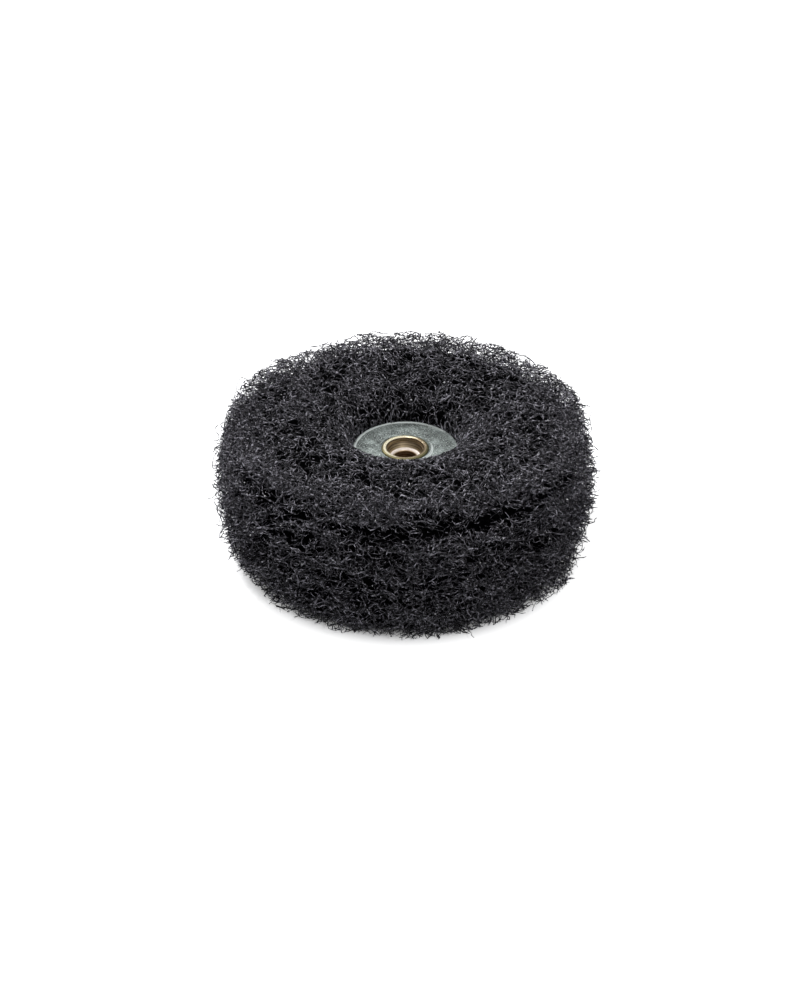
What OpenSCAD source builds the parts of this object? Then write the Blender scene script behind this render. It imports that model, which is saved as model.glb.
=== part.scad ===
// Open-web polishing wheel. Soft plies of non-woven abrasive web are pinched
// at the hub between two steel flange washers and spring apart towards the rim.
// A brass eyelet rivets the stack together, and a brass bush inside it fits the
// spindle. The wheel lies on its rear face with the spindle axis along +Z and
// the origin at its centre.

/* [Wheel] */
// Outside diameter of the web
wheel_d = 100; // [80:1:150]
// Thickness over the crowns of the two faces, unloaded
wheel_t = 40; // [30:1:60]
// Number of web plies
ply_count = 6; // [4:1:8]
// Thickness of all the plies together where the washers pinch them
pinched_t = 15.4; // [12:0.5:24]
// Gap between neighbouring plies at the rim
ply_gap = 0.6; // [0.3:0.1:1.5]

/* [Web outline] */
// How far the flat crown of a face starts outside the washer
crown_rise = 20; // [12:0.5:24]
// Width of the flat crown that the wheel lies on
crown_w = 4; // [2:0.5:8]
// How much further the middle plies reach than the face plies
rim_bulge = 3; // [1:0.5:8]
// How far in from its edge a ply starts to round off
ply_edge = 6; // [3:0.5:8]
// Squareness of the web's curves: 2 is an ellipse, more is squarer
squareness = 2.5; // [2:0.1:4]

/* [Flange washers] */
// Diameter of the washers
washer_d = 28; // [22:0.5:34]
// Thickness of the washer plate
washer_t = 0.8; // [0.5:0.1:1.5]
// Width of the ring pressed up round the eyelet
collar_w = 0.7; // [0.4:0.1:2]
// Height of that ring above the plate
collar_h = 0.2; // [0.1:0.05:0.6]

/* [Eyelet] */
// Bore of the eyelet
eyelet_bore_d = 9.8; // [9:0.1:12]
// Wall of the eyelet's barrel
eyelet_wall = 0.5; // [0.3:0.1:0.8]
// Radial width of the rolled rim
rim_w = 1.5; // [1:0.05:2]
// Height of the rolled rim above the washer
rim_h = 0.45; // [0.3:0.05:1.2]
// Width of the flat worn on top of the rolled rim
rim_flat_w = 0.3; // [0.1:0.1:0.5]

/* [Arbor bush] */
// Spindle hole
arbor_d = 6; // [5:0.05:7.5]
// Depth of the bush's end face below the top of the eyelet's rim
bush_depth = 2.7; // [1.5:0.1:5]
// Chamfer at each end of the spindle hole
bush_chamfer = 0.4; // [0.2:0.1:0.8]
// Share of the bush's end, outside its chamfer, that is flat
ledge_share = 0.37; // [0.2:0.01:0.7]
// How far the dished wall outside the flat climbs toward the top of the eyelet's rim
dish_share = 0.55; // [0.3:0.05:0.8]
// Flat lip at the top of the dished wall
dish_lip = 0.15; // [0.1:0.05:0.25]

/* [Clearances] */
// Web to barrel, all round
web_clear = 0.3; // [0.2:0.1:0.6]
// Washer hole to barrel, all round
washer_clear = 0.1; // [0.05:0.05:0.3]
// Washer's ring to the eyelet's rolled rim
collar_clear = 0.2; // [0.1:0.05:0.6]

/* [Hidden] */
FACE_STEPS = 18;
EDGE_STEPS = 8;
ROUND_FN = 96;
wheel_r = wheel_d / 2;
crown_z = wheel_t / 2;
pinched_z = pinched_t / 2;
washer_r = washer_d / 2;
crown_in_r = washer_r + crown_rise;
ply_pitch = 2 / ply_count;
barrel_r = eyelet_bore_d / 2 + eyelet_wall;
rim_foot_z = pinched_z + washer_t;
rim_top_z = rim_foot_z + rim_h;
rim_out_r = eyelet_bore_d / 2 + rim_w;
bush_z = rim_top_z - bush_depth;
dish_z = bush_z + dish_share * bush_depth;
collar_in_r = rim_out_r + collar_clear;

function ply_name(ply) = str("web_ply_", ply);

// A quarter of a squared ellipse: 0 at x = 0, rising to 1 at x = 1.
function quarter(x) = pow(1 - pow(1 - min(1, max(0, x)), squareness), 1 / squareness);

// Half the web's thickness at radius r, before the plies round off at the rim.
function web_z(r) = pinched_z + (crown_z - pinched_z) * quarter((r - washer_r) / crown_rise);

// Gap between plies at radius r: none under the washers, all of it by the crown.
function gap_at(r) = ply_gap * min(1, max(0, (r - washer_r) / crown_rise));

// Place of a ply's middle in the stack, from -1 at the rear face to 1 at the front.
function ply_place(ply) = (ply - 0.5) * ply_pitch - 1;

// A ply's outer radius: the middle plies reach the full radius, the face plies less.
function ply_reach(ply) =
    let (
        middle = ply_pitch / 2 * (1 - ply_count % 2),
        out = (abs(ply_place(ply)) - middle) / (1 - ply_pitch / 2 - middle)
    )
    wheel_r - rim_bulge * pow(max(0, out), squareness);

// How much of a ply's thickness is left at radius r, where its edge rounds off.
function edge_left(ply, r) = quarter((ply_reach(ply) - r) / ply_edge);

// Gap taken off one side of a ply at radius r: none on the wheel's two outer faces.
function side_gap(ply, side, r) =
    let (outer_ply = side < 0 ? 1 : ply_count)
    ply == outer_ply ? 0 : gap_at(r) / 2;

// Height of a ply's face at radius r. The side is -1 for its lower face, 1 for its upper.
function ply_face(ply, side, r) =
    let (half = web_z(r) * ply_pitch / 2 - side_gap(ply, side, r))
    web_z(r) * ply_place(ply) + side * half * edge_left(ply, r);

// Radii where a ply's outline has a point: even steps, then finer ones round the edge.
function ply_radii(ply) =
    let (
        hole_r = barrel_r + web_clear,
        edge_r = max(crown_in_r + crown_w, ply_reach(ply) - ply_edge)
    )
    concat(
        [hole_r],
        [for (i = [0:FACE_STEPS]) washer_r + crown_rise * (1 - cos(90 * i / FACE_STEPS))],
        [for (i = [0:EDGE_STEPS]) edge_r + (ply_reach(ply) - edge_r) * sin(90 * i / EDGE_STEPS)]
    );

module web_ply(ply) {
    radii = ply_radii(ply);
    last = len(radii) - 1;
    color([0.13, 0.13, 0.15])
    rotate_extrude($fn = ROUND_FN)
    polygon(concat(
        [for (i = [0:last]) [radii[i], ply_face(ply, -1, radii[i])]],
        [for (i = [last - 1:-1:0]) [radii[i], ply_face(ply, 1, radii[i])]]
    ));
}

// A washer lying on the web's front face, its ring upwards.
module washer() {
    color([0.50, 0.52, 0.50])
    rotate_extrude($fn = ROUND_FN)
    polygon([
        [barrel_r + washer_clear, pinched_z],
        [washer_r, pinched_z],
        [washer_r, rim_foot_z],
        [collar_in_r + collar_w, rim_foot_z],
        [collar_in_r + collar_w * 0.75, rim_foot_z + collar_h],
        [collar_in_r + collar_w * 0.25, rim_foot_z + collar_h],
        [collar_in_r, rim_foot_z],
        [barrel_r + washer_clear, rim_foot_z]
    ]);
}

module front_washer() {
    washer();
}

module rear_washer() {
    mirror([0, 0, 1]) washer();
}

// The rolled rim's half round over the washer, with a narrow flat on its crest.
function rim_outline() =
    let (
        mid_r = (eyelet_bore_d / 2 + rim_out_r) / 2,
        half_w = (rim_w - rim_flat_w) / 2
    )
    concat(
        [[rim_out_r, rim_foot_z]],
        [for (a = [15:15:90]) [mid_r + rim_flat_w / 2 + half_w * cos(a), rim_foot_z + rim_h * sin(a)]],
        [for (a = [90:15:165]) [mid_r - rim_flat_w / 2 + half_w * cos(a), rim_foot_z + rim_h * sin(a)]],
        [[eyelet_bore_d / 2, rim_foot_z]]
    );

module rolled_rim() {
    rotate_extrude($fn = ROUND_FN) polygon(rim_outline());
}

// Tubular rivet through the whole stack, rolled over at both ends.
module eyelet() {
    color([0.72, 0.62, 0.40]) {
        difference() {
            cylinder(h = 2 * rim_foot_z, r = barrel_r, center = true, $fn = ROUND_FN);
            cylinder(h = 2 * rim_foot_z + 2, d = eyelet_bore_d, center = true, $fn = ROUND_FN);
        }
        rolled_rim();
        mirror([0, 0, 1]) rolled_rim();
    }
}

// One end of the bush, from its hole out to the eyelet's bore.
function bush_end(hole_r, bore_r) = [
    [hole_r, bush_z - bush_chamfer],
    [hole_r + bush_chamfer, bush_z],
    [hole_r + bush_chamfer + ledge_share * (bore_r - hole_r - bush_chamfer), bush_z],
    [bore_r - dish_lip, dish_z],
    [bore_r, dish_z]
];

// Sleeve pressed into the eyelet's bore, with dished ends and the spindle hole through it.
module arbor_bush() {
    front = bush_end(arbor_d / 2, eyelet_bore_d / 2);
    rear = [for (i = [len(front) - 1:-1:0]) [front[i][0], -front[i][1]]];
    color([0.70, 0.56, 0.42])
    rotate_extrude($fn = ROUND_FN) polygon(concat(front, rear));
}

for (ply = [1:ply_count]) web_ply(ply);
front_washer();
rear_washer();
eyelet();
arbor_bush();
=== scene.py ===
"""Looks of an open-web polishing wheel: webs of crimped fibre, zinc washers and a brass hub."""

import math

import bpy
import numpy as np
from bpy.props import FloatProperty, FloatVectorProperty, IntProperty, PointerProperty
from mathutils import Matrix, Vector


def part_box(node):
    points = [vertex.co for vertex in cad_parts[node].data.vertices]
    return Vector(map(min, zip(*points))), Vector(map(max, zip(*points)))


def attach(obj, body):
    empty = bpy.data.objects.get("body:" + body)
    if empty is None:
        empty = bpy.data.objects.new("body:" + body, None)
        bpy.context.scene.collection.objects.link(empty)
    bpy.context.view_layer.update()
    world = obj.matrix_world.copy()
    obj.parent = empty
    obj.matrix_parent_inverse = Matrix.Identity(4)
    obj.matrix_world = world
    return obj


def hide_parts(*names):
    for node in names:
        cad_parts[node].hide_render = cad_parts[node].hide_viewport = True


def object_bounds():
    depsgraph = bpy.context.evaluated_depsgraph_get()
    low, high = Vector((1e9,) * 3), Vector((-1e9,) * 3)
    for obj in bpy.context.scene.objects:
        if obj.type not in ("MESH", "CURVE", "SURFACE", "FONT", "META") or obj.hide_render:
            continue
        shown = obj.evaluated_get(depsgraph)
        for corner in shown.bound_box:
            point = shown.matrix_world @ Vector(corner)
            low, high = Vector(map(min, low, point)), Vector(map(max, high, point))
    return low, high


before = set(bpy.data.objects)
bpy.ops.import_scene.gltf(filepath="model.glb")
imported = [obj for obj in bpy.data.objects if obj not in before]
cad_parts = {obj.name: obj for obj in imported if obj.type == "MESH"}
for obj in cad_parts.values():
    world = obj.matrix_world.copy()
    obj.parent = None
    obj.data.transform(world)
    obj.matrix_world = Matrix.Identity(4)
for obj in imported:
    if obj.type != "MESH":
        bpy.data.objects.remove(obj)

CAD_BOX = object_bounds()

bl_info = {
    "name": "Open-web polishing wheel",
    "version": (1, 0, 0),
    "blender": (4, 5, 0),
    "location": "View3D > Sidebar > Polishing Wheel",
    "description": "Builds the fibre web, hub metals and studio of an open-web polishing wheel",
    "category": "Object",
}

MM = 0.001
BODY = "root"
PLIES = sorted(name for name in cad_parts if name.startswith("web_ply_"))
FRONT_PLY, REAR_PLY = PLIES[-1], PLIES[0]
WASHER_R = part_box("front_washer")[1].x
WHEEL_R = CAD_BOX[1][0]
BARREL_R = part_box("arbor_bush")[1].x
RIM_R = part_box("eyelet")[1].x
RIM_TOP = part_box("eyelet")[1].z
CREST_R = RIM_R - 0.92 * MM
WHEEL_Z = CAD_BOX[1][2]


def bush_ledge():
    """Radius and height of the flat end inside the bush's dished wall."""
    corners = [(math.hypot(v.co.x, v.co.y), v.co.z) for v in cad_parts["arbor_bush"].data.vertices]
    hole_r = min(radius for radius, _ in corners)
    height = max(z for radius, z in corners if radius < hole_r + 0.6 * MM)
    return max(radius for radius, z in corners if abs(z - height) < 0.02 * MM), height


LEDGE_R, LEDGE_Z = bush_ledge()

# The fibre skin: each fibre is one strip of this map, and the last strip is a bright grain's: a near-white
# painted glint that stands in for sparkle.
UV_MAP = "OFBake"
STRIPS = 40
STRIP_SIDES = 3


class WebLook(bpy.types.PropertyGroup):
    """Sizes and colours of the fibre web."""

    fibre_d: FloatProperty(name="Fibre diameter", description="Diameter of a resin-coated fibre",
                           default=0.25 * MM, min=0.1 * MM, max=0.6 * MM, unit="LENGTH", precision=5)
    fibre_length: FloatProperty(name="Fibre length", description="Length of one crimped staple fibre",
                                default=24 * MM, min=8 * MM, max=60 * MM, unit="LENGTH")
    step: FloatProperty(name="Step", description="Distance between two rings of a fibre's tube",
                        default=1.05 * MM, min=0.5 * MM, max=3 * MM, unit="LENGTH", precision=5)
    crimp_r: FloatProperty(name="Crimp radius", description="Typical radius of a fibre's curls",
                           default=2.5 * MM, min=1 * MM, max=20 * MM, unit="LENGTH")
    kink: FloatProperty(name="Kink", description="How sharply a fibre turns aside from ring to ring",
                        default=0.42, min=0, max=1, subtype="ANGLE")
    lift: FloatProperty(name="Lift", description="How steeply fibres climb through a ply",
                        default=0.45, min=0, max=1.2, subtype="ANGLE")
    fray: FloatProperty(name="Fray", description="How far fibre ends stand out of the cut rim",
                        default=1.3 * MM, min=0, max=4 * MM, unit="LENGTH")
    ragged: FloatProperty(name="Raggedness", description="How uneven a ply's cut edge is",
                          default=0.9 * MM, min=0, max=4 * MM, unit="LENGTH")
    faces: IntProperty(name="Triangles", description="Triangles in an outer ply's web",
                       default=185000, min=5000, max=199000)
    rim_faces: IntProperty(name="Rim triangles", description="Triangles in an inner ply's web",
                           default=185000, min=5000, max=199000)
    sag: FloatProperty(name="Sag", description="How far the plies rise and sink round the rim",
                       default=0.8 * MM, min=0, max=2 * MM, unit="LENGTH", precision=5)
    seed: IntProperty(name="Seed", description="Draws another web", default=7, min=0)
    dark: FloatVectorProperty(name="Resin", description="Colour of the darkest fibres",
                              default=(0.004, 0.004, 0.005), min=0, max=1, size=3, subtype="COLOR")
    pale: FloatVectorProperty(name="Worn fibre", description="Colour of the palest fibres",
                              default=(0.620, 0.600, 0.680), min=0, max=1, size=3, subtype="COLOR")
    # The grit's pale colour is partly the grains' own and partly painted sparkle.
    grit: FloatVectorProperty(name="Grit", description="Colour of the abrasive grains",
                              default=(0.55, 0.55, 0.58), min=0, max=1, size=3, subtype="COLOR")


class HubLook(bpy.types.PropertyGroup):
    """Colours of the washers, the eyelet and the bush."""

    zinc: FloatVectorProperty(name="Zinc", description="Colour of the washers' dull zinc",
                              default=(0.205, 0.233, 0.224), min=0, max=1, size=3, subtype="COLOR")
    # Bare zinc of the worn edges and scratches, also the colour of the washers' painted highlights and glints.
    zinc_wear_and_highlight: FloatVectorProperty(name="Bare edge", description="Colour of the washers' rubbed edge",
                                   default=(0.80, 0.86, 0.84), min=0, max=1, size=3, subtype="COLOR")
    # The crest's bright brass is partly polished brass and partly a painted highlight.
    brass: FloatVectorProperty(name="Brass", description="Colour of the rolled rim's bright brass",
                               default=(0.92, 0.85, 0.62), min=0, max=1, size=3, subtype="COLOR")
    tarnish: FloatVectorProperty(name="Tarnish", description="Colour of brown brass inside the eyelet",
                                 default=(0.085, 0.060, 0.038), min=0, max=1, size=3, subtype="COLOR")
    bronze: FloatVectorProperty(name="Bronze", description="Colour of the turning rings in brown brass",
                                default=(0.50, 0.40, 0.25), min=0, max=1, size=3, subtype="COLOR")
    olive: FloatVectorProperty(name="Olive", description="Colour of the rolled rim's outer slope",
                               default=(0.12, 0.112, 0.048), min=0, max=1, size=3, subtype="COLOR")
    # The end face's near-white is its pinkish brass with a painted highlight.
    bush: FloatVectorProperty(name="Bush", description="Colour of the bush's end face",
                              default=(1.0, 0.92, 0.86), min=0, max=1, size=3, subtype="COLOR")


class StudioLook(bpy.types.PropertyGroup):
    """Floor, lamps and camera."""

    distance: FloatProperty(name="Camera distance", description="From the wheel's centre to the camera",
                            default=0.45, min=0.2, max=2, unit="LENGTH")
    elevation: FloatProperty(name="Elevation", description="Camera's height above the horizon",
                             default=math.radians(32.4), min=0, max=math.radians(89), subtype="ANGLE")
    lens: FloatProperty(name="Lens", description="Focal length", default=60.2, min=20, max=200,
                        subtype="DISTANCE_CAMERA")
    key_power: FloatProperty(name="Key power", description="Power of the lamp overhead",
                             default=4.4, min=0, max=50, unit="POWER")
    back_power: FloatProperty(name="Back power", description="Power of the lamp above and behind",
                              default=2.6, min=0, max=50, unit="POWER")
    fill_power: FloatProperty(name="Fill power", description="Power of the front fill lamp",
                              default=1.6, min=0, max=50, unit="POWER")
    sky: FloatProperty(name="Sky", description="Strength of the even light from all round",
                       default=0.045, min=0, max=2)
    floor: FloatVectorProperty(name="Floor", description="Colour of the floor",
                               default=(0.86, 0.87, 0.89), min=0, max=1, size=3, subtype="COLOR")


class WheelLook(bpy.types.PropertyGroup):
    """All that a user may change on the wheel."""

    web: PointerProperty(type=WebLook, name="Web", description="Fibre web")
    hub: PointerProperty(type=HubLook, name="Hub", description="Hub metals")
    studio: PointerProperty(type=StudioLook, name="Studio", description="Floor, lamps and camera")


# ---------------------------------------------------------------- shader arithmetic


class Wire:
    """A value on its way through a material, so that arithmetic on it adds its Math nodes."""

    def __init__(self, finish, socket):
        self.finish = finish
        self.socket = socket

    def maths(self, operation, *values):
        return self.finish.node("Math", {"operation": operation}, *values)

    def __add__(self, other):
        return self.maths("ADD", self, other)

    def __sub__(self, other):
        return self.maths("SUBTRACT", self, other)

    def __mul__(self, other):
        return self.maths("MULTIPLY", self, other)

    def __truediv__(self, other):
        return self.maths("DIVIDE", self, other)

    def __pow__(self, other):
        return self.maths("POWER", self, other)

    def __lt__(self, other):
        return self.maths("LESS_THAN", self, other)

    def __gt__(self, other):
        return self.maths("GREATER_THAN", self, other)

    def __radd__(self, other):
        return self.maths("ADD", other, self)

    def __rsub__(self, other):
        return self.maths("SUBTRACT", other, self)

    def __rmul__(self, other):
        return self.maths("MULTIPLY", other, self)

    def __abs__(self):
        return self.maths("ABSOLUTE", self)

    def floor(self):
        return self.maths("FLOOR", self)

    def ramp(self, low, high):
        """0 where the value is at low, 1 where it is at high, and smooth between."""
        settings = {"interpolation_type": "SMOOTHSTEP"}
        return self.finish.node("MapRange", settings, self, low, high)


class Finish:
    """A material whose nodes are added one by one."""

    def __init__(self, name):
        self.material = bpy.data.materials.new(name)
        self.material.use_nodes = True
        self.tree = self.material.node_tree
        self.tree.nodes.clear()
        self.shader = self.tree.nodes.new("ShaderNodeBsdfPrincipled")
        output = self.tree.nodes.new("ShaderNodeOutputMaterial")
        self.tree.links.new(self.shader.outputs[0], output.inputs[0])
        self.output = output

    def join(self, socket, value):
        if isinstance(value, Wire):
            self.tree.links.new(value.socket, socket)
        elif value is not None:
            socket.default_value = value

    def node(self, kind, settings, *values, out=0, **named):
        """Adds a node: its type, settings and stops first, then the values or links of its sockets."""
        made = self.tree.nodes.new("ShaderNode" + kind)
        stops = settings.get("stops")
        for key, value in settings.items():
            if key != "stops":
                setattr(made, key, value)
        if stops:
            elements = made.color_ramp.elements
            while len(elements) < len(stops):
                elements.new(1.0)
            for element, (place, colour) in zip(elements, stops):
                element.position = place
                element.color = (*colour, 1.0)
        for socket, value in zip(made.inputs, values):
            self.join(socket, value)
        for key, value in named.items():
            self.join(made.inputs[key.replace("_", " ")], value)
        return Wire(self, made.outputs[out])

    def mix(self, share, first, second):
        """A colour between two others."""
        made = self.tree.nodes.new("ShaderNodeMix")
        made.data_type = "RGBA"
        for socket, value in ((made.inputs[0], share), (made.inputs[6], first), (made.inputs[7], second)):
            if not isinstance(value, Wire) and hasattr(value, "__len__") and len(value) == 3:
                value = (*value, 1.0)
            self.join(socket, value)
        return Wire(self, made.outputs[2])

    def noise(self, place, scale, detail=2.0, roughness=0.5, dimensions="3D"):
        return self.node("TexNoise", {"noise_dimensions": dimensions}, Vector=place, Scale=scale,
                         Detail=detail, Roughness=roughness)

    def point(self, x, y, z=0.0):
        return self.node("CombineXYZ", {}, x, y, z)

    def parts(self, vector):
        return [self.node("SeparateXYZ", {}, vector, out=i) for i in range(3)]

    def bump(self, height, distance, strength):
        return self.node("Bump", {}, Strength=strength, Distance=distance, Height=height)

    def surface(self, **sockets):
        for key, value in sockets.items():
            if not isinstance(value, Wire) and hasattr(value, "__len__") and len(value) == 3:
                value = (*value, 1.0)
            self.join(self.shader.inputs[key.replace("_", " ")], value)
        return self.material


def rgb(colour):
    return tuple(colour)[:3]


# ---------------------------------------------------------------- finishes


def web_finish(look):
    """Black nylon coated in resin and grit. Each fibre has a tone, and grains along it whose pale grit is
    partly painted sparkle; the crumbs' last strip is a painted glint.
    """
    f = Finish("abrasive_web")
    strip_x, along, _ = f.parts(f.node("UVMap", {"uv_map": UV_MAP}))
    strip = (strip_x * STRIPS).floor()
    tone = f.node("TexWhiteNoise", {"noise_dimensions": "1D"}, W=strip + 0.5)
    clots = f.noise(f.point(strip * 3.7, along * 52.0), 1.0, detail=2.0)
    patches = f.noise(f.point(strip * 5.3, along * 19.0), 1.0, detail=1.0)
    grains = f.noise(f.point(strip_x * 420.0, along * 210.0), 1.0, detail=1.0)
    # Grit grains: pale, partly their own colour and partly painted sparkle.
    grain = grains.ramp(0.60, 0.70)
    coat = 0.10 + patches.ramp(0.42, 0.62) * 0.90
    shade = (tone * 0.60 + clots.ramp(0.38, 0.66) * 0.70) ** 2.6 * coat
    resin = f.mix(shade, rgb(look.dark), rgb(look.pale))
    # Painted glint: faces on the last strip are near-white and stand in for sparkle on the grains.
    painted_glint = strip > STRIPS - 1.5
    colour = f.mix(painted_glint, f.mix(grain * 0.7, resin, rgb(look.grit)), (0.9, 0.9, 0.92))
    height = clots * 0.6 + grains * 0.4
    return f.surface(
        Base_Color=colour,
        Roughness=0.55 - grain * 0.20 + clots * 0.10,
        Normal=f.bump(height, 0.06 * MM, 0.7),
        Specular_IOR_Level=0.03,
    )


def zinc_finish(look):
    """Dull grey-green zinc: cloudy, finely scratched, worn on its edges and dirty. Painted glints speckle it,
    a painted highlight runs along the outer edge and fades to the right, a painted highlight crescent lies
    round the collar to the lower right, and painted shade makes the dirt denser to the right.
    """
    f = Finish("zinc_steel")
    place = f.node("TexCoord", {}, out=3)
    x, y, z = f.parts(place)
    radius = (x * x + y * y) ** 0.5
    clouds = f.noise(place, 230.0, detail=4.0, roughness=0.62)
    mottle = f.noise(place, 1300.0, detail=3.0, roughness=0.7)
    specks = f.noise(place, 2600.0, detail=2.0, roughness=0.6)
    hairs = f.noise(f.point((x + y) * 5200.0, (x - y) * 260.0, z * 100.0), 1.0, detail=3.0)
    strays = f.noise(f.point((x - y * 0.4) * 300.0, (y + x * 0.4) * 4800.0, z * 100.0), 1.0, detail=3.0)
    scratch = hairs.ramp(0.58, 0.72) + strays.ramp(0.62, 0.74)
    # Outer edge band: real edge wear, with a painted highlight laid on it that fades out to the right.
    edge = radius.ramp(WASHER_R - 1.00 * MM, WASHER_R - 0.75 * MM)
    # Collar band round the eyelet: it carries a painted highlight crescent, mostly to the lower right.
    ring = 1.0 - abs(radius - (RIM_R + 0.80 * MM)).ramp(0.12 * MM, 0.42 * MM)
    worn = clouds.ramp(0.38, 0.58)
    # Right side of the washer: the edge's painted highlight fades there, and painted shade makes the dirt
    # denser.
    right = (x - y * 0.2).ramp(-0.2 * WASHER_R, 0.8 * WASHER_R)
    # Lower right of the washer, where the collar's painted highlight lies.
    below = (x * 0.8 - y).ramp(0.1 * WASHER_R, 0.45 * WASHER_R)
    # Scratches and edge wear, together with the painted highlights of the outer edge and the collar crescent.
    wear_and_highlight = edge * (0.70 + worn * 0.3) * (1.0 - right * 0.8) + ring * (worn * 0.15 + below * 0.8)
    wear_and_highlight = (wear_and_highlight + scratch * 0.32).ramp(0.0, 1.0)
    tone = clouds * 0.5 + mottle * 0.5
    dull = f.mix(tone.ramp(0.36, 0.64), tuple(c * 0.32 for c in look.zinc), tuple(c * 1.60 for c in look.zinc))
    # Painted glints: specks of bare-zinc colour with less metal, standing in for sparkle.
    painted_glint = specks.ramp(0.58, 0.67) * 0.85
    painted_glints = f.mix(painted_glint, dull, rgb(look.zinc_wear_and_highlight))
    # Dark specks of dirt, made denser to the right as painted shade.
    dirt_and_shade = mottle.ramp(0.56, 0.68) * (0.40 + right * 0.35)
    dirty_and_shaded = f.mix(dirt_and_shade, painted_glints, (0.050, 0.058, 0.042))
    return f.surface(
        Base_Color=f.mix(wear_and_highlight, dirty_and_shaded, rgb(look.zinc_wear_and_highlight)),
        # Less metal on the edge's left part, the glints and the lower-right crescent makes these painted
        # highlights brighter.
        Metallic=0.85 - edge * (1.0 - right) * 0.7 - painted_glint * 0.4 - ring * below * 0.5,
        Roughness=0.46 + clouds * 0.14 - wear_and_highlight * 0.18,
        Normal=f.bump(specks * 0.5 + mottle * 0.7 + hairs * 0.4, 0.06 * MM, 0.7),
    )


def eyelet_finish(look):
    """A rolled brass rim with a painted highlight along its crest, partly polished brass, wider and brighter
    to the upper left, over a brown wall with turning rings lit brighter to the left.
    """
    f = Finish("eyelet_brass")
    place = f.node("TexCoord", {}, out=3)
    x, y, z = f.parts(place)
    radius = (x * x + y * y) ** 0.5
    blotch = f.noise(place, 420.0, detail=3.0, roughness=0.6)
    grain = f.noise(place, 2600.0, detail=2.0, roughness=0.6)
    rings = f.noise(f.point(abs(z) * 2300.0, radius * 2300.0), 1.0, detail=1.0)
    turning = rings.ramp(0.44, 0.58)
    # Upper left, where the crest's painted highlight is widest.
    left = (y * 0.5 - x).ramp(-0.2 * RIM_R, 0.6 * RIM_R)
    crest = 1.0 - abs(radius - CREST_R).ramp(0.10 * MM + left * 0.15 * MM, 0.28 * MM + left * 0.20 * MM)
    on_top = abs(z).ramp(RIM_TOP - 0.7 * MM, RIM_TOP - 0.3 * MM)
    # Wear and painted highlight on the crest: brightest to the upper left, broken by blotches and grains.
    wear_and_highlight = (y * 0.8 - x + (blotch - 0.5) * RIM_R * 3.0).ramp(-0.4 * RIM_R, 0.5 * RIM_R)
    wear_and_highlight = (wear_and_highlight + grain.ramp(0.60, 0.66) * 0.9).ramp(0.05, 1.0)
    bright = crest * on_top * wear_and_highlight
    lit = (0.2 * RIM_R - x).ramp(-RIM_R, RIM_R)
    wall = f.mix(turning * (0.20 + lit * 0.55 + grain * 0.3), rgb(look.tarnish), rgb(look.bronze))
    outside = radius.ramp(CREST_R + 0.18 * MM, CREST_R + 0.36 * MM)
    olive = f.mix(blotch.ramp(0.45, 0.65) * 0.7, rgb(look.olive), tuple(c * 0.35 for c in look.olive))
    shaded = f.mix(outside * 0.9, wall, olive)
    return f.surface(
        Base_Color=f.mix(bright, shaded, rgb(look.brass)),
        # Less metal on the crest makes its painted highlight brighter.
        Metallic=0.9 - bright * 0.45,
        Roughness=0.34 - bright * 0.12 + grain * 0.12,
        Normal=f.bump(rings * 0.8 + grain * 0.3, 0.08 * MM, 0.6),
    )


def bush_finish(look):
    """Brass with a bright, pinkish flat end inside a brown dished wall, and a brown bore; the flat end is
    near-white and mostly non-metal, its pinkish brass carrying a painted highlight.
    """
    f = Finish("bush_brass")
    place = f.node("TexCoord", {}, out=3)
    x, y, z = f.parts(place)
    radius = (x * x + y * y) ** 0.5
    grain = f.noise(place, 1500.0, detail=3.0, roughness=0.6)
    rings = f.noise(f.point(abs(z) * 2300.0, radius * 2300.0), 1.0, detail=1.0)
    turning = rings.ramp(0.44, 0.58)
    flat = abs(z).ramp(LEDGE_Z - 0.35 * MM, LEDGE_Z - 0.05 * MM)
    flat = flat * (1.0 - radius.ramp(LEDGE_R - 0.05 * MM, LEDGE_R + 0.12 * MM))
    inside = 1.0 - radius.ramp(LEDGE_R - 0.5 * MM, LEDGE_R)
    brown = f.mix(inside, rgb(look.tarnish), (0.26, 0.14, 0.07))
    lit = (0.2 * RIM_R - x).ramp(-RIM_R, RIM_R)
    dull = f.mix(turning * (0.20 + lit * 0.55 + grain * 0.3), brown, rgb(look.bronze))
    # End face: near-white as a painted highlight in place of its reflection, with bronze grains.
    end = f.mix(grain.ramp(0.60, 0.72) * 0.35, rgb(look.bush), rgb(look.bronze))
    return f.surface(
        Base_Color=f.mix(flat, dull, end),
        # Less metal on the end face is part of its painted highlight.
        Metallic=0.9 - flat * 0.75,
        Roughness=0.34 + grain * 0.12,
        Normal=f.bump(rings * 0.7 + grain * 0.4, 0.06 * MM, 0.5),
    )


def wear(node, material):
    """Gives a CAD node its finish."""
    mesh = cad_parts[node].data
    mesh.materials.clear()
    mesh.materials.append(material)


# ---------------------------------------------------------------- fibre webs


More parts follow.
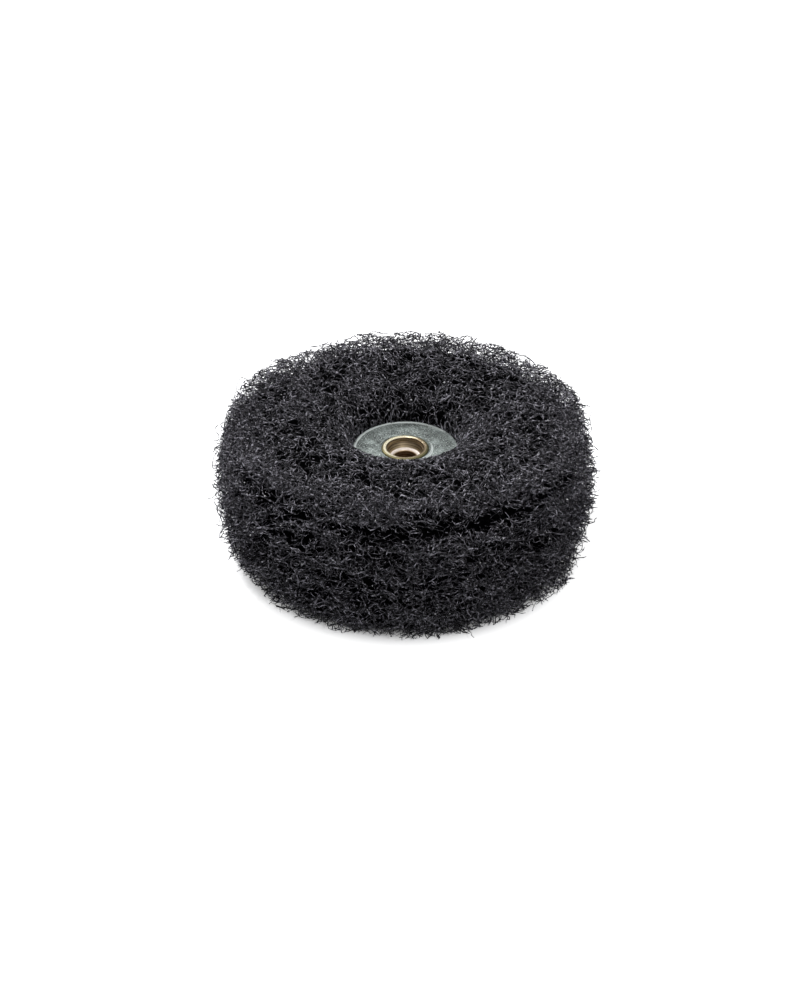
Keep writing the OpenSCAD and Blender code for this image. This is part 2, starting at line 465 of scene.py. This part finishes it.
class Ply:
    """The space that one ply fills, read from its CAD node, as a flat sheet bent over its faces."""

    RING_GAP = 0.02 * MM
    EDGE = 6.0 * MM
    HIDDEN_R = WASHER_R - 1.5 * MM
    OUTSIDE, INSIDE = 1.0, 0.15
    FILLED_OUT = 0.25
    RIPPLE = 0.20 * MM

    def __init__(self, node, look, draw):
        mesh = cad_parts[node].data
        corners = np.empty(len(mesh.vertices) * 3, np.float32)
        mesh.vertices.foreach_get("co", corners)
        corners = corners.reshape(-1, 3).astype(float)
        radius = np.hypot(corners[:, 0], corners[:, 1])
        order = np.argsort(radius)
        radius, height = radius[order], corners[order, 2]
        first = np.concatenate([[0], np.flatnonzero(np.diff(radius) > self.RING_GAP) + 1])
        self.rings = radius[first]
        self.low = np.minimum.reduceat(height, first)
        self.high = np.maximum.reduceat(height, first)
        self.reach = self.rings[-1]
        self.rounded = [self.OUTSIDE if node == outer else self.INSIDE for outer in (REAR_PLY, FRONT_PLY)]
        waves = np.arange(2, 9)
        self.waves = waves
        self.phases = draw.uniform(0, 2 * math.pi, len(waves))
        self.depths = draw.normal(0, 1, len(waves)) * look.ragged / waves ** 0.5 / 1.6
        self.ripples = [(wave, draw.uniform(0, 2 * math.pi), self.RIPPLE * draw.normal()) for wave in
                        range(11, 47, 3)]

    def faces(self, radius):
        """Heights of the lower and upper face at a radius, on out past the edge."""
        inside = np.minimum(radius, self.reach - self.EDGE)
        return np.interp(inside, self.rings, self.low), np.interp(inside, self.rings, self.high)

    def holds(self, x, y, z, fray):
        """Whether a point is in the ply, whose cut edge is uneven, or within fray of it."""
        radius = np.hypot(x, y)
        turn = np.arctan2(y, x)
        uneven = sum(d * np.cos(w * turn + p) for d, w, p in zip(self.depths, self.waves, self.phases))
        outward = np.clip(radius / self.reach * 3 - 2, 0, 1)
        even = radius - (uneven + self.FILLED_OUT * (WHEEL_R - self.reach)) * outward
        flat_low, flat_high = self.faces(even)
        low = flat_low + (np.interp(even, self.rings, self.low) - flat_low) * self.rounded[0]
        high = flat_high + (np.interp(even, self.rings, self.high) - flat_high) * self.rounded[1]
        ripple = sum(height * np.cos(wave * turn + phase) for wave, phase, height in self.ripples)
        spare = fray / 2 + np.maximum(ripple, -0.1 * MM) * outward
        kept = (z > low - spare) & (z < high + spare) & (even < self.reach + fray)
        return kept & (radius > self.HIDDEN_R)


def sag(x, y, z, look):
    """How far the soft stack of plies sags or swells at a place: most at the rim, none on its faces."""
    turn = np.arctan2(y, x)
    outward = np.clip(np.hypot(x, y) / WHEEL_R, 0, 1.1) ** 4
    inward = np.clip(1 - (z / WHEEL_Z) ** 2, 0, 1)
    wave = np.cos(2 * turn + 0.7) + 0.9 * np.cos(3 * turn + 2.1) + 0.6 * np.cos(5 * turn + 4.0)
    wave = wave + 0.5 * np.cos(8 * turn + 1.3 + z / WHEEL_Z) + 0.4 * np.cos(13 * turn + 5.1 - z / WHEEL_Z)
    return look.sag * 0.5 * wave * outward * inward


def wander(ply, look, draw, count, steps, start_r, depth):
    """Crimped fibres as count rows of steps points that stroll through a ply's sheet."""
    radius = np.sqrt(draw.uniform(start_r[0] ** 2, start_r[1] ** 2, count))
    turn = draw.uniform(0, 2 * math.pi, count)
    x, y = radius * np.cos(turn), radius * np.sin(turn)
    level = draw.uniform(*depth, count)
    heading = draw.uniform(0, 2 * math.pi, count)
    bend = draw.normal(0, 1, count)
    climb = draw.normal(0, 1, count)
    memory = math.exp(-look.step / (1.1 * look.crimp_r))
    jolt = math.sqrt(1 - memory ** 2)
    points = np.empty((count, steps, 3))
    for k in range(steps):
        radius = np.maximum(np.hypot(x, y), 1 * MM)
        low, high = ply.faces(radius)
        here = low + level * (high - low)
        points[:, k] = np.stack([x, y, here], 1)
        low_out, high_out = ply.faces(radius + 0.5 * MM)
        slope = (low_out + level * (high_out - low_out) - here) / (0.5 * MM)
        bend = bend * memory + draw.normal(0, jolt, count)
        climb = climb * memory + draw.normal(0, jolt, count)
        heading = heading + bend * look.step / look.crimp_r + draw.normal(0, look.kink, count)
        rise = np.clip(climb * look.lift, -1.3, 1.3)
        dx = np.cos(heading) * np.cos(rise) * look.step
        dy = np.sin(heading) * np.cos(rise) * look.step
        lost = (1 - 1 / np.sqrt(1 + slope ** 2)) * (dx * x + dy * y) / radius ** 2
        x, y = x + dx - lost * x, y + dy - lost * y
        level = level + np.sin(rise) * look.step / np.maximum(high - low, 1 * MM)
        turned_back = (level < depth[0]) | (level > depth[1])
        level = np.where(level < depth[0], 2 * depth[0] - level, level)
        level = np.where(level > depth[1], 2 * depth[1] - level, level)
        climb = np.where(turned_back, -climb, climb)
    return points


def kept_runs(points, kept, rooted, least=5):
    """The unbroken stretches of each fibre that are kept and rooted somewhere in the web."""
    count, steps = kept.shape
    flat = kept.ravel()
    step_of = np.tile(np.arange(steps), count)
    before = np.concatenate([[False], flat[:-1]]) & (step_of > 0)
    after = np.concatenate([flat[1:], [False]]) & (step_of < steps - 1)
    begins = np.flatnonzero(flat & ~before)
    ends = np.flatnonzero(flat & ~after) + 1
    roots = np.concatenate([[0], np.cumsum(rooted.ravel())])
    good = (ends - begins >= least) & (roots[ends] - roots[begins] > 2)
    return points.reshape(-1, 3), begins[good], ends[good]


def pick_runs(points, begins, ends, segments, draw):
    """Runs in a random order, up to a number of segments, laid end to end."""
    order = draw.permutation(len(begins))
    begins, ends = begins[order], ends[order]
    used = np.cumsum(ends - begins - 1) <= segments
    begins, ends = begins[used], ends[used]
    lengths = ends - begins
    firsts = np.concatenate([[0], np.cumsum(lengths)[:-1]])
    index = np.arange(lengths.sum()) - np.repeat(firsts, lengths) + np.repeat(begins, lengths)
    return points[index], firsts, lengths


def unit(vectors):
    return vectors / np.maximum(np.linalg.norm(vectors, axis=1, keepdims=True), 1e-12)


def tube_rings(points, firsts, lengths, radii, draw):
    """Three corners round each point, square to the fibre there."""
    total = len(points)
    lasts = firsts + lengths - 1
    after = np.minimum(np.arange(total) + 1, np.repeat(lasts, lengths))
    before = np.maximum(np.arange(total) - 1, np.repeat(firsts, lengths))
    tangent = unit(points[after] - points[before])
    side = np.cross(tangent, (0.0, 0.0, 1.0))
    upright = np.linalg.norm(side, axis=1) < 0.15
    side[upright] = np.cross(tangent[upright], (1.0, 0.0, 0.0))
    side = unit(side)
    other = np.cross(tangent, side)
    phase = np.repeat(draw.uniform(0, 2 * math.pi, len(firsts)), lengths)
    rings = np.empty((total, STRIP_SIDES, 3))
    for j in range(STRIP_SIDES):
        angle = (phase + 2 * math.pi * j / STRIP_SIDES)[:, None]
        rings[:, j] = points + radii[:, None] * (np.cos(angle) * side + np.sin(angle) * other)
    return rings


def tube_faces(firsts, lengths, look, draw):
    """Corner numbers and map places of the tubes' walls and end caps."""
    total = int(lengths.sum())
    lasts = firsts + lengths - 1
    wall = np.ones(total, bool)
    wall[lasts] = False
    here = np.flatnonzero(wall)
    strip = np.repeat(draw.integers(0, STRIPS - 1, len(firsts)), lengths)
    start = np.repeat(draw.uniform(0, 0.35, len(firsts)), lengths)
    along = start + (np.arange(total) - np.repeat(firsts, lengths)) * look.step / (1.6 * look.fibre_length)
    width = 1.0 / STRIPS / (STRIP_SIDES + 1)
    quads, maps = [], []
    for j in range(STRIP_SIDES):
        k = (j + 1) % STRIP_SIDES
        quads.append(np.stack([here * 3 + j, here * 3 + k, here * 3 + 3 + k, here * 3 + 3 + j], 1))
        left = strip[here] / STRIPS + (j + 0.5) * width
        maps.append(np.stack([left, along[here], left + width, along[here],
                              left + width, along[here + 1], left, along[here + 1]], 1))
    caps, cap_maps = [], []
    for ends, order in ((firsts, (0, 2, 1)), (lasts, (0, 1, 2))):
        caps.append(np.stack([ends * 3 + c for c in order], 1))
        left, up = strip[ends] / STRIPS + width, along[ends]
        cap_maps.append(np.stack([left, up, left + width, up, left, up + 0.002], 1))
    return np.concatenate(quads), np.concatenate(maps), np.concatenate(caps), np.concatenate(cap_maps)


def crumbs(points, count, size, draw):
    """Clots of resin and grit on the fibres, each a lopsided octahedron; some of their faces carry the
    near-white painted glint.
    """
    at = points[draw.integers(0, len(points), count)]
    radius = size * draw.uniform(0.5, 1.1, (count, 1, 1)) ** 1.5 * draw.uniform(0.7, 1.2, (count, 6, 1))
    axes = np.array([(1, 0, 0), (-1, 0, 0), (0, 1, 0), (0, -1, 0), (0, 0, 1), (0, 0, -1)], float)
    squash = draw.uniform(0.6, 1.5, (count, 1, 3))
    corners = at[:, None] + axes[None] * radius * squash
    faces = [(a, b, c) for a, b, c in ((0, 2, 4), (2, 1, 4), (1, 3, 4), (3, 0, 4),
                                       (2, 0, 5), (1, 2, 5), (3, 1, 5), (0, 3, 5))]
    triangles = (np.arange(count)[:, None, None] * 6 + np.array(faces)[None]).reshape(-1, 3)
    strip = draw.integers(0, STRIPS - 1, len(triangles))
    # About 9 faces in 100 take the last strip, the near-white painted glint.
    left = (np.where(draw.random(len(triangles)) < 0.09, STRIPS - 1, strip) + 0.2) / STRIPS
    up = draw.uniform(0, 0.98, len(triangles))
    maps = np.stack([left, up, left + 0.4 / STRIPS, up, left, up + 0.01], 1)
    return corners.reshape(-1, 3), triangles, maps


def fibre_mesh(name, corners, quads, quad_maps, triangles, triangle_maps):
    """A mesh of walls and caps with the strip map on it."""
    mesh = bpy.data.meshes.new(name)
    mesh.vertices.add(len(corners))
    mesh.vertices.foreach_set("co", corners.astype(np.float32).ravel())
    mesh.loops.add(quads.size + triangles.size)
    mesh.loops.foreach_set("vertex_index", np.concatenate([quads.ravel(), triangles.ravel()]).astype(np.int32))
    mesh.polygons.add(len(quads) + len(triangles))
    starts = np.concatenate([np.arange(len(quads)) * 4, quads.size + np.arange(len(triangles)) * 3])
    mesh.polygons.foreach_set("loop_start", starts.astype(np.int32))
    mesh.update(calc_edges=True)
    layer = mesh.uv_layers.new(name=UV_MAP)
    places = np.concatenate([quad_maps.ravel(), triangle_maps.ravel()]).astype(np.float32)
    layer.uv.foreach_set("vector", places)
    return mesh


def add_fibres(name, points, firsts, lengths, look, draw, material, clots):
    """One piece of web from its fibres' runs, with clots of resin on them."""
    total = len(points)
    body = np.repeat(draw.uniform(0.6, 1.25, len(firsts)), lengths)
    lumpy = 1 + 0.28 * draw.normal(0, 1, total).clip(-1.5, 2.6)
    radii = look.fibre_d / 2 * body * lumpy
    radii[firsts] *= 0.7
    radii[firsts + lengths - 1] *= 0.7
    rings = tube_rings(points, firsts, lengths, radii, draw)
    quads, maps, caps, cap_maps = tube_faces(firsts, lengths, look, draw)
    clot_corners, clot_faces, clot_maps = crumbs(points, clots, look.fibre_d * 1.25, draw)
    corners = np.concatenate([rings.reshape(-1, 3), clot_corners])
    triangles = np.concatenate([caps, clot_faces + total * STRIP_SIDES])
    mesh = fibre_mesh(name, corners, quads, maps, triangles, np.concatenate([cap_maps, clot_maps]))
    mesh.materials.append(material)
    piece = bpy.data.objects.new(name, mesh)
    bpy.context.collection.objects.link(piece)
    return piece


def web_piece(name, ply, look, draw, material, start_r, depth, faces, clots=2400):
    """Fibres that fill part of a ply, cut where they leave it."""
    clots = int(clots * faces / look.faces)
    segments = (faces - clots * 8) // 6.15
    steps = int(look.fibre_length / look.step)
    count = int(2.2 * segments / steps) + 50
    points = wander(ply, look, draw, count, steps, start_r, depth)
    fray = np.repeat(draw.exponential(look.fray * 0.5, (count, 1)).clip(0, look.fray * 3), steps, 1)
    x, y, z = points[..., 0], points[..., 1], points[..., 2]
    runs = kept_runs(points, ply.holds(x, y, z, fray), ply.holds(x, y, z, 0.0))
    points, firsts, lengths = pick_runs(*runs, segments, draw)
    points[:, 2] += sag(*points.T, look)
    return add_fibres(name, points, firsts, lengths, look, draw, material, clots)


def shade_mat_finish():
    """Painted shade: a near-black sheet in the deep middle of a ply, standing in for the shade where the web
    is too thick to see into.
    """
    f = Finish("painted_shade_web")
    place = f.node("TexCoord", {}, out=3)
    shade_mottle = f.noise(place, 900.0, detail=3.0, roughness=0.7)
    colour = f.mix(shade_mottle.ramp(0.45, 0.75), (0.0012, 0.0012, 0.0014), (0.006, 0.006, 0.007))
    return f.surface(Base_Color=colour, Roughness=0.9, Specular_IOR_Level=0.0,
                     Normal=f.bump(shade_mottle, 0.4 * MM, 0.8))


def add_shade_mat(name, ply, look, depth, inset, material):
    """A closed ring of near-black painted shade between two levels of a ply, turned from its outline."""
    near_hub = WASHER_R + np.array((0.2, 0.5, 1.0, 1.6, 2.4, 3.5)) * MM
    radii = np.concatenate([near_hub, np.linspace(WASHER_R + 5 * MM, ply.reach - inset, 12)])
    low, high = ply.faces(radii)
    under = np.stack([radii, low + depth[0] * (high - low)], 1)
    over = np.stack([radii, low + depth[1] * (high - low)], 1)
    outline = np.concatenate([under, over[::-1]])
    bpy.ops.object.select_all(action="DESELECT")
    bpy.ops.mesh.primitive_circle_add(vertices=len(outline), radius=1, fill_type="NOTHING")
    piece = bpy.context.object
    piece.name = piece.data.name = name
    for corner, (radius, height) in zip(piece.data.vertices, outline):
        corner.co = (radius, 0, height)
    bpy.ops.object.mode_set(mode="EDIT")
    bpy.ops.mesh.select_all(action="SELECT")
    bpy.ops.mesh.spin(steps=72, angle=2 * math.pi, center=(0, 0, 0), axis=(0, 0, 1))
    bpy.ops.mesh.select_all(action="SELECT")
    bpy.ops.mesh.remove_doubles(threshold=0.01 * MM)
    bpy.ops.mesh.normals_make_consistent(inside=False)
    bpy.ops.object.mode_set(mode="OBJECT")
    bpy.ops.object.shade_smooth()
    for corner in piece.data.vertices:
        corner.co.z += sag(*corner.co, look)
    piece.data.materials.append(material)
    return piece


def settle(piece, replaced):
    """Puts a finished piece on the wheel's body, and hides the CAD node it replaces, if any."""
    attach(piece, BODY)
    if replaced:
        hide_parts(replaced)


# Where each ply's fibres lie between its lower face, 0, and its upper face, 1: the levels of its
# pieces of web, the levels of its near-black painted-shade mat, and the radius where its fibres begin.
RIM_WEB = (((-0.14, 1.14, 1.0, WHEEL_R - 7 * MM, WHEEL_R + 6 * MM),), (0.04, 0.96), 3.5 * MM)
OUTER_WEB = (
    (-0.14, 1.0, 1.0, WASHER_R, WHEEL_R + 6 * MM),
    (0.6, 1.0, 0.7, WASHER_R, WHEEL_R + 6 * MM),
    (-0.20, 0.6, 0.30, WHEEL_R - 8 * MM, WHEEL_R + 4 * MM),
    (0.3, 1.0, 0.25, WASHER_R - 1 * MM, WASHER_R + 5 * MM),
)
# Levels of the outer plies' near-black painted-shade mat.
OUTER_SHADE_MAT = (0.05, 0.72)


def upside_down(web, shade_mat_levels):
    """The same web and painted-shade mat for the rear ply, whose outer face is its lower one."""
    turned = tuple((1 - high, 1 - low, *rest) for low, high, *rest in web)
    return turned, (1 - shade_mat_levels[1], 1 - shade_mat_levels[0])


# ---------------------------------------------------------------- operators


class WHEEL_OT_web_plies(bpy.types.Operator):
    """Builds the fibre web of every ply"""

    bl_idname = "wheel.web_plies"
    bl_label = "Web plies"

    def execute(self, context):
        look = context.scene.polishing_wheel.web
        fibres, shade_finish = web_finish(look), shade_mat_finish()
        for number, node in enumerate(PLIES):
            draw = np.random.default_rng(look.seed * 100 + number)
            ply = Ply(node, look, draw)
            layers, shade_mat_depth, inset = RIM_WEB
            faces = look.rim_faces
            if node in (FRONT_PLY, REAR_PLY):
                layers, shade_mat_depth, inset = OUTER_WEB, OUTER_SHADE_MAT, 9.5 * MM
                faces = look.faces
            if node == REAR_PLY:
                layers, shade_mat_depth = upside_down(layers, shade_mat_depth)
                inset = 4.5 * MM
            for layer, (low, high, share, inner_r, outer_r) in enumerate(layers):
                name = f"{node}_fibres_{layer + 1}"
                where = (inner_r, outer_r), (low, high)
                piece = web_piece(name, ply, look, draw, fibres, *where, faces * share)
                settle(piece, node)
            # Each ply also gets a near-black mat of painted shade.
            settle(add_shade_mat(node + "_mat", ply, look, shade_mat_depth, inset, shade_finish), None)
        return {"FINISHED"}


class WHEEL_OT_washers(bpy.types.Operator):
    """Gives both flange washers their dull zinc"""

    bl_idname = "wheel.washers"
    bl_label = "Flange washers"

    def execute(self, context):
        material = zinc_finish(context.scene.polishing_wheel.hub)
        wear("front_washer", material)
        wear("rear_washer", material)
        return {"FINISHED"}


class WHEEL_OT_hub(bpy.types.Operator):
    """Gives the eyelet and the arbor bush their brass"""

    bl_idname = "wheel.hub"
    bl_label = "Eyelet and bush"

    def execute(self, context):
        look = context.scene.polishing_wheel.hub
        wear("eyelet", eyelet_finish(look))
        wear("arbor_bush", bush_finish(look))
        return {"FINISHED"}


class WHEEL_OT_studio(bpy.types.Operator):
    """Adds the pale floor, the soft lamps and the camera"""

    bl_idname = "wheel.studio"
    bl_label = "Studio"

    def execute(self, context):
        look = context.scene.polishing_wheel.studio
        scene = context.scene
        bpy.ops.object.select_all(action="DESELECT")
        bpy.ops.mesh.primitive_plane_add(size=6, location=(0, 0, CAD_BOX[0][2]))
        floor = context.object
        floor.name = "floor"
        floor.data.materials.append(floor_finish(look))
        add_lamp("key_lamp", (-0.18, 0.14, 0.90), 0.10, look.key_power)
        add_lamp("back_lamp", (-0.40, 0.48, 0.60), 0.10, look.back_power)
        add_lamp("fill_lamp", (0.25, -0.62, 0.64), 0.07, look.fill_power)
        scene.world = sky_world(look)
        camera_data = bpy.data.cameras.new("camera")
        camera_data.lens = look.lens
        camera_data.shift_x = -0.0052
        camera_data.shift_y = -0.0248
        camera = bpy.data.objects.new("camera", camera_data)
        scene.collection.objects.link(camera)
        aim = Vector((0, -math.cos(look.elevation), math.sin(look.elevation)))
        camera.location = aim * look.distance
        camera.rotation_euler = (-aim).to_track_quat("-Z", "Y").to_euler()
        scene.camera = camera
        scene.view_settings.view_transform = "Standard"
        return {"FINISHED"}


def floor_finish(look):
    """A matt floor that reads as white to the eye and keeps the wheel's shadow."""
    f = Finish("white_floor")
    f.surface(Base_Color=rgb(look.floor), Roughness=0.9, Specular_IOR_Level=0.1)
    seen = [f.node("LightPath", {}, out=name) for name in ("Is Camera Ray", "Is Glossy Ray",
                                                           "Is Transmission Ray")]
    x, y, _ = f.parts(f.node("TexCoord", {}, out=3))
    away = ((x * x + y * y) ** 0.5).ramp(0.82 * WHEEL_R, 1.00 * WHEEL_R)
    strength = (seen[0] + seen[1] + seen[2]) * away * 0.92
    f.surface(Emission_Color=(1.0, 1.0, 1.0), Emission_Strength=strength)
    return f.material


def sky_world(look):
    """Even light, which looks white wherever the floor ends."""
    world = bpy.data.worlds.new("studio_sky")
    world.use_nodes = True
    tree = world.node_tree
    back = tree.nodes["Background"]
    path = tree.nodes.new("ShaderNodeLightPath")
    total = None
    for name in ("Is Camera Ray", "Is Glossy Ray", "Is Transmission Ray"):
        if total is None:
            total = path.outputs[name]
        else:
            add = tree.nodes.new("ShaderNodeMath")
            add.operation = "MAXIMUM"
            tree.links.new(total, add.inputs[0])
            tree.links.new(path.outputs[name], add.inputs[1])
            total = add.outputs[0]
    share = tree.nodes.new("ShaderNodeMapRange")
    share.inputs["To Min"].default_value = look.sky
    share.inputs["To Max"].default_value = 1.0
    tree.links.new(total, share.inputs["Value"])
    tree.links.new(share.outputs[0], back.inputs["Strength"])
    back.inputs["Color"].default_value = (1, 1, 1, 1)
    return world


def add_lamp(name, place, size, power):
    """A soft square lamp that faces the wheel."""
    data = bpy.data.lights.new(name, "AREA")
    data.size = size
    data.energy = power
    lamp = bpy.data.objects.new(name, data)
    lamp.location = place
    lamp.rotation_euler = (-Vector(place)).to_track_quat("-Z", "Y").to_euler()
    bpy.context.scene.collection.objects.link(lamp)


class WHEEL_PT_panel(bpy.types.Panel):
    """Lists the wheel's pieces in the sidebar"""

    bl_idname = "WHEEL_PT_panel"
    bl_label = "Polishing Wheel"
    bl_space_type = "VIEW_3D"
    bl_region_type = "UI"
    bl_category = "Polishing Wheel"

    def draw(self, context):
        look = context.scene.polishing_wheel
        for group in (look.web, look.hub, look.studio):
            box = self.layout.box()
            for key in group.bl_rna.properties.keys():
                if key not in ("rna_type", "name"):
                    box.prop(group, key)
        for step in STEPS:
            self.layout.operator(step.bl_idname)


STEPS = (WHEEL_OT_web_plies, WHEEL_OT_washers, WHEEL_OT_hub, WHEEL_OT_studio)
CLASSES = (WebLook, HubLook, StudioLook, WheelLook, *STEPS, WHEEL_PT_panel)


def register():
    for cls in CLASSES:
        bpy.utils.register_class(cls)
    bpy.types.Scene.polishing_wheel = PointerProperty(type=WheelLook)


def unregister():
    del bpy.types.Scene.polishing_wheel
    for cls in reversed(CLASSES):
        bpy.utils.unregister_class(cls)


def main():
    register()
    bpy.ops.wheel.web_plies()
    bpy.ops.wheel.washers()
    bpy.ops.wheel.hub()
    bpy.ops.wheel.studio()


if __name__ == "__main__":
    main()
